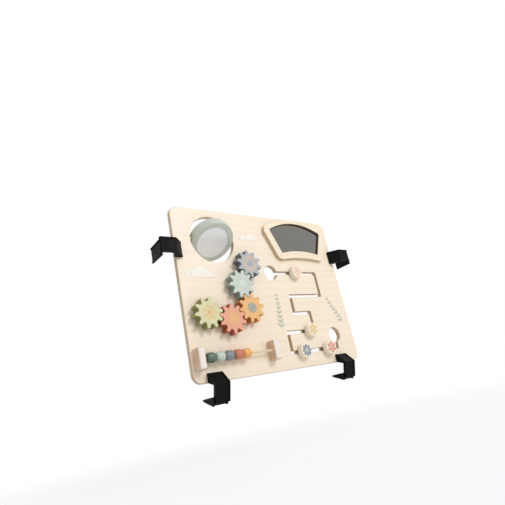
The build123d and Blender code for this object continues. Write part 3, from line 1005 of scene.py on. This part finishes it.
@dataclass(frozen=True)
class Ground:
    """A surface that takes prints, with the drawing plane on it."""

    place: Matrix
    body: str
    slot: str
    colour: Colour
    sink: float = 0.05 * MM
    layer: float = 0.1 * MM

    @staticmethod
    def about(joint: str, node: str, slot: str, colour: Colour, turn: float = 0.0) -> "Ground":
        """Get the front of a node that is a body, with the drawing plane about its hinge."""
        x, _, z = JOINTS[joint]["pos_m"]
        return Ground(on_face(x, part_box(node)[0].y, z, turn), node, slot, colour)

    def height(self, layers: int) -> float:
        """Get the height of a print whose top is some ink layers above the surface."""
        return self.sink + self.layer * layers

    def ink(self, name: str, tone: Colour) -> Ink:
        """Get the ink of a print on this ground."""
        return Ink(name=f"{self.body}_{name}_ink", colour=tone, ground=self.colour)

    def add(self, mesh: Mesh, ink: Ink) -> None:
        """Put a print on the ground's body, with its underside a hair below the surface.

        Args:
            mesh: The mesh, on the drawing plane.
            ink: Its finish.
        """
        mesh.transform(self.place @ Matrix.Translation((0.0, 0.0, -self.sink)))
        if not mesh.materials:
            mesh.materials.append(ink.material())
        piece = placed(mesh)
        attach(piece, self.body)
        log.info("%s: %s on %s, %d faces", piece.name, ink.name, self.body, len(mesh.polygons))

    def press(self, slab: Slab, name: str, tone: Colour) -> None:
        """Print drawn shapes under a name, with ink of a tone."""
        self.add(slab.finish(f"{self.body}_{name}"), self.ink(name, tone))

    def disc(self, name: str, tone: Colour, radius: float, hole: float = 0.0) -> None:
        """Print a disc or a ring about the drawing plane's origin.

        Args:
            name: Name of the print.
            tone: Colour of the ink.
            radius: Outer radius in metres.
            hole: Inner radius in metres, or 0 for a disc.
        """
        slab = Slab()
        if hole:
            slab.band(circle(radius), circle(hole), self.height(1))
        else:
            slab.prism(circle(radius), self.height(1))
        self.press(slab, name, tone)

    def repeat(self, motif: Motif, name: str, tone: Colour, layers: int = 1, **sizes: float) -> None:
        """Print a motif, up to a number of ink layers, with its own sizes in metres and radians."""
        ink = self.ink(name, tone)
        self.add(motif.draw(f"{self.body}_{name}", ink, Thickness=self.height(layers), **sizes), ink)


class Assembly:
    """A sub-assembly, which is dressed first and then gets pieces of its own."""

    def dress(self) -> None:
        """Lay the finishes on the sub-assembly's nodes."""
        raise NotImplementedError

    def build(self) -> None:
        """Make the sub-assembly's own pieces, if it has any."""


@dataclass
class BoardPanel(Assembly):
    """The plywood panel with its prints.

    Arches are given by x, z and radius, and ears by x, z, turn and number of leaf pairs, in degrees and in
    millimetres from the panel's lower left corner.
    """

    node: str = "board_panel"
    body: str = "board"
    layer: float = 0.08 * MM
    line: float = 0.55 * MM
    arches: tuple[Triple, ...] = (
        (30.0, 181.0, 16.5), (62.0, 181.0, 13.0), (46.0, 181.0, 22.5),
        (158.0, 262.0, 11.5), (174.0, 262.0, 15.0),
    )
    arch_steps: int = 3
    arch_line: Colour = screen(224, 215, 202)
    arch_fill: Colour = screen(247, 241, 232)
    ears: tuple[tuple[float, float, float, int], ...] = ((204.0, 80.0, 86.0, 8), (376.0, 84.0, 118.0, 7))
    ear_tone: Colour = screen(186, 189, 171)

    def dress(self) -> None:
        """Lay the wood's finish on the panel and steel on the screws in it."""
        BIRCH_PLY.lay_on(self.node)
        STEEL.lay_on("post_screws", "clamp_screws")

    def ground(self, slot: str, x: float = 0.0, z: float = 0.0, turn: float = 0.0) -> Ground:
        """Get the panel's front for prints of a slot, with the drawing plane at a point and turned."""
        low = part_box(self.node)[0] + Vector((x, 0.0, z)) * MM
        return Ground(on_face(*low, turn), self.body, slot, BIRCH, layer=self.layer)

    def build(self) -> None:
        """Make the prints on the panel's front."""
        self.build_arches(self.ground("post_wood"))
        for number, (x, z, turn, count) in enumerate(self.ears, 1):
            self.ground("sage_paint", x, z, turn).repeat(
                Motif.EAR, f"ear_{number}", self.ear_tone, Count=count, Pitch=9.0 * MM, Leaf=12.0 * MM,
                Width=4.6 * MM, Splay=math.radians(40), Taper=0.06, Stem=0.9 * MM,
            )

    def build_arches(self, ground: Ground) -> None:
        """Draw the arches, each a step nearer than the one before, with a line round it.

        Args:
            ground: The panel's front.
        """
        lines, fills = Slab(), Slab()
        for number, sizes in enumerate(self.arches):
            x, z, radius = (size * MM for size in sizes)
            layers = 1 + 2 * (number % self.arch_steps)
            lines.prism(arch(radius + self.line, x, z), ground.height(layers))
            fills.prism(arch(radius - self.line, x, z + self.line), ground.height(layers + 1))
        ground.press(lines, "arch_lines", self.arch_line)
        ground.press(fills, "arch_fills", self.arch_fill)


class Window(Assembly):
    """The raised frame with its smoky plate."""

    def dress(self) -> None:
        """Lay the finishes on both nodes."""
        FRAME_PLY.lay_on("window_frame")
        SMOKY_PLATE.lay_on("window_plate")


class FlipMirror(Assembly):
    """The painted ring with its two mirrors and its pivots."""

    def dress(self) -> None:
        """Lay the finishes on the ring, the mirrors and the pivots."""
        SAGE.lay_on("mirror_ring")
        MIRROR.lay_on("mirror_front", "mirror_back")
        STEEL.lay_on("mirror_pivot_pins")
        ROD_WOOD.lay_on("mirror_spacers")


class GearTrain(Assembly):
    """The five gears, what turns with them and the prints on their faces."""

    def dress(self) -> None:
        """Lay paint on the gears and bare wood and steel behind them."""
        for gear in Gear:
            gear.paint.lay_on(gear.node)
            DOWEL_WOOD.lay_on(f"{gear.node}_axle")
            WASHER_PLY.lay_on(f"{gear.node}_washer")
            STEEL.lay_on(f"{gear.node}_screw")
        WASHER_PLY.lay_on("gear_spacers")

    def build(self) -> None:
        """Make the prints: rings, dots, discs and a rosette."""
        blue, mint, orange, red, green = (
            Ground.about(f"{gear.node}_turn", gear.node, gear.slot, gear.paint.colour) for gear in Gear
        )
        blue.disc("wide_ring", screen(202, 186, 168), radius=15.5 * MM, hole=10.5 * MM)
        blue.disc("thin_ring", screen(206, 192, 172), radius=8.6 * MM, hole=7.0 * MM)
        blue.disc("middle", screen(160, 164, 176), radius=4.2 * MM)
        mint.disc("middle", screen(206, 220, 210), radius=6.0 * MM)
        mint.repeat(Motif.DOTS, "dots", screen(198, 213, 204), Count=12, Ring=12.0 * MM, Radius=1.7 * MM)
        orange.disc("middle", screen(152, 160, 154), radius=9.8 * MM)
        orange.repeat(
            Motif.DOTS, "dots", screen(186, 188, 174), layers=2, Count=9, Ring=6.2 * MM, Radius=1.1 * MM
        )
        red.disc("middle", screen(229, 182, 124), radius=11.0 * MM)
        red.repeat(
            Motif.DOTS, "dots", screen(215, 154, 106), layers=2, Count=12, Ring=8.0 * MM, Radius=1.0 * MM
        )
        green.repeat(
            Motif.PETALS, "petals", screen(226, 196, 140), Count=7, Inner=3.4 * MM, Length=10.4 * MM,
            Width=9.4 * MM,
        )
        green.disc("middle", screen(218, 164, 108), radius=2.9 * MM)


class BeadRail(Assembly):
    """The two posts, the rod between them and its five beads."""

    def dress(self) -> None:
        """Lay the finishes on posts, rod and beads."""
        POST_WOOD.lay_on(*(f"bead_post_{side.value}" for side in Side))
        ROD_WOOD.lay_on("bead_rod")
        for bead in Bead:
            bead.paint.lay_on(bead.node)


@dataclass
class Maze(Assembly):
    """The four knobs with the pieces that carry them in the track."""

    inner: float = 2.3 * MM
    eye: float = 1.9 * MM
    turn: float = 90.0

    def dress(self) -> None:
        """Lay the finishes on the knobs and on what is behind them."""
        for knob in Flower:
            KNOB_PAINT.lay_on(knob.node, f"{knob.node}_backer")
            BUSH_PLASTIC.lay_on(f"{knob.node}_bush")
            STEEL.lay_on(f"{knob.node}_screw")

    def build(self) -> None:
        """Print the rosettes on the knobs."""
        for knob in Flower:
            rosette = knob.value
            ground = Ground.about(f"{knob.node}_spin", knob.node, "cream_paint", CREAM, self.turn)
            ground.repeat(
                Motif.PETALS, "petals", rosette.tone, Count=rosette.petals, Inner=self.inner,
                Length=rosette.length * MM, Width=rosette.width * MM,
            )
            ground.disc("eye", rosette.middle, self.eye)


class Clamps(Assembly):
    """The four moulded clamps."""

    def dress(self) -> None:
        """Lay the black moulding on all four."""
        for height in ("upper", "lower"):
            BLACK_PLASTIC.lay_on(*(f"clamp_{height}_{side.value}" for side in Side))


@dataclass
class Studio:
    """Floor, light and camera, in metres, watts and millimetres of lens."""

    floor_height: float = -0.14
    floor_half: float = 6.0
    floor_tones: tuple[Colour, Colour] = ((0.86, 0.86, 0.86, 1.0), (0.9, 0.9, 0.9, 1.0))
    floor_cloud: float = 3.0
    floor_roughness: float = 0.9
    fade_span: Span = (0.35, 1.3)
    fade_white: Span = (0.8, 1.0)
    ambient: float = 0.62
    ambient_tone: Colour = (1.0, 0.985, 0.96, 1.0)
    key_place: Triple = (0.7, -2.4, 1.4)
    key_size: float = 0.9
    key_power: float = 29.0
    aim: Triple = (0.0, 0.0, 0.16)
    eye: Triple = (-0.52694, -0.61185, -0.04557)
    look: Triple = (0.5978, 0.7275, 0.3368)
    level: Triple = (0.8003, -0.5659, -0.1982)
    lens: float = 29.61
    sensor: float = 36.0
    clip: float = 0.01

    def whitened(self, build: TreeBuilder, own: Socket, white: str, share: object = 1.0) -> Socket:
        """Mix a shader with plain white for the rays that show the background as it is.

        Args:
            build: Builder of the floor's or the world's tree.
            own: The shader that lights the object.
            white: Blender's type name of the white one.
            share: Share of white for camera, glossy and transmission rays.

        Returns:
            The mixed shader.
        """
        path = build.make("ShaderNodeLightPath").outputs
        direct = build.calc("MAXIMUM", path["Is Camera Ray"], path["Is Glossy Ray"])
        seen = build.calc("MAXIMUM", direct, path["Is Transmission Ray"])
        plain = build.make(white, {"Color": WHITE, "Strength": 1.0}).outputs[0]
        factor = build.calc("MULTIPLY", seen, share)
        return build.make("ShaderNodeMixShader", {0: factor, 1: own, 2: plain}).outputs[0]

    def build_floor(self) -> None:
        """Make the pale floor, which fades to white away from the object."""
        ends = (-self.floor_half, self.floor_half)
        corners = [(x, y, self.floor_height) for y in ends for x in ends]
        mesh = bpy.data.meshes.new("floor")
        mesh.from_pydata(corners, [], [(0, 1, 3, 2)])
        material = bpy.data.materials.new("pale_floor")
        build = MaterialBuilder(material)
        tone = build.mix(build.noise(build.at, self.floor_cloud), *self.floor_tones)
        build.surface(Base_Color=tone, Roughness=self.floor_roughness)
        away = build.make("ShaderNodeVectorMath", {0: build.at}, operation="LENGTH").outputs["Value"]
        share = build.ramp(away, self.fade_span, self.fade_white)
        surface = self.whitened(build, build.shader.outputs[0], "ShaderNodeEmission", share)
        build.feed(build.tree.nodes["Material Output"].inputs["Surface"], surface)
        mesh.materials.append(material)
        placed(mesh)

    def build_world(self) -> None:
        """Make the soft surrounding light, white where it is seen or mirrored."""
        world = bpy.data.worlds.new("studio")
        bpy.context.scene.world = world
        world.use_nodes = True
        world.node_tree.nodes.clear()
        build = TreeBuilder(world.node_tree)
        light = {"Color": self.ambient_tone, "Strength": self.ambient}
        soft = build.make("ShaderNodeBackground", light).outputs[0]
        surface = self.whitened(build, soft, "ShaderNodeBackground")
        build.make("ShaderNodeOutputWorld", {"Surface": surface})

    def build_lamp(self) -> None:
        """Make the square soft lamp that points at the board."""
        data = bpy.data.lights.new("key", "AREA")
        data.shape = "SQUARE"
        data.size = self.key_size
        data.energy = self.key_power
        lamp = placed(data)
        lamp.location = self.key_place
        lamp.rotation_euler = (Vector(self.aim) - lamp.location).to_track_quat("-Z", "Y").to_euler()

    def build_camera(self) -> None:
        """Make the camera, low at the board's left and looking up at it."""
        ahead = Vector(self.look).normalized()
        upward = Vector(self.level).normalized().cross(ahead).normalized()
        right = ahead.cross(upward)
        data = bpy.data.cameras.new("camera")
        data.lens = self.lens
        data.sensor_width = self.sensor
        data.clip_start = self.clip
        camera = placed(data)
        turn = Matrix((right, upward, -ahead)).transposed().to_4x4()
        camera.matrix_world = Matrix.Translation(self.eye) @ turn
        bpy.context.scene.camera = camera

    def build(self) -> None:
        """Make everything round the object."""
        bpy.context.scene.view_settings.view_transform = "Standard"
        self.build_floor()
        self.build_world()
        self.build_lamp()
        self.build_camera()


def main() -> None:
    """Build and dress every sub-assembly, then the studio."""
    logging.basicConfig(level=logging.INFO, format="%(name)s: %(message)s")
    for assembly in (BoardPanel(), Window(), FlipMirror(), GearTrain(), BeadRail(), Maze(), Clamps()):
        assembly.dress()
        assembly.build()
    Studio().build()


if __name__ == "__main__":
    main()
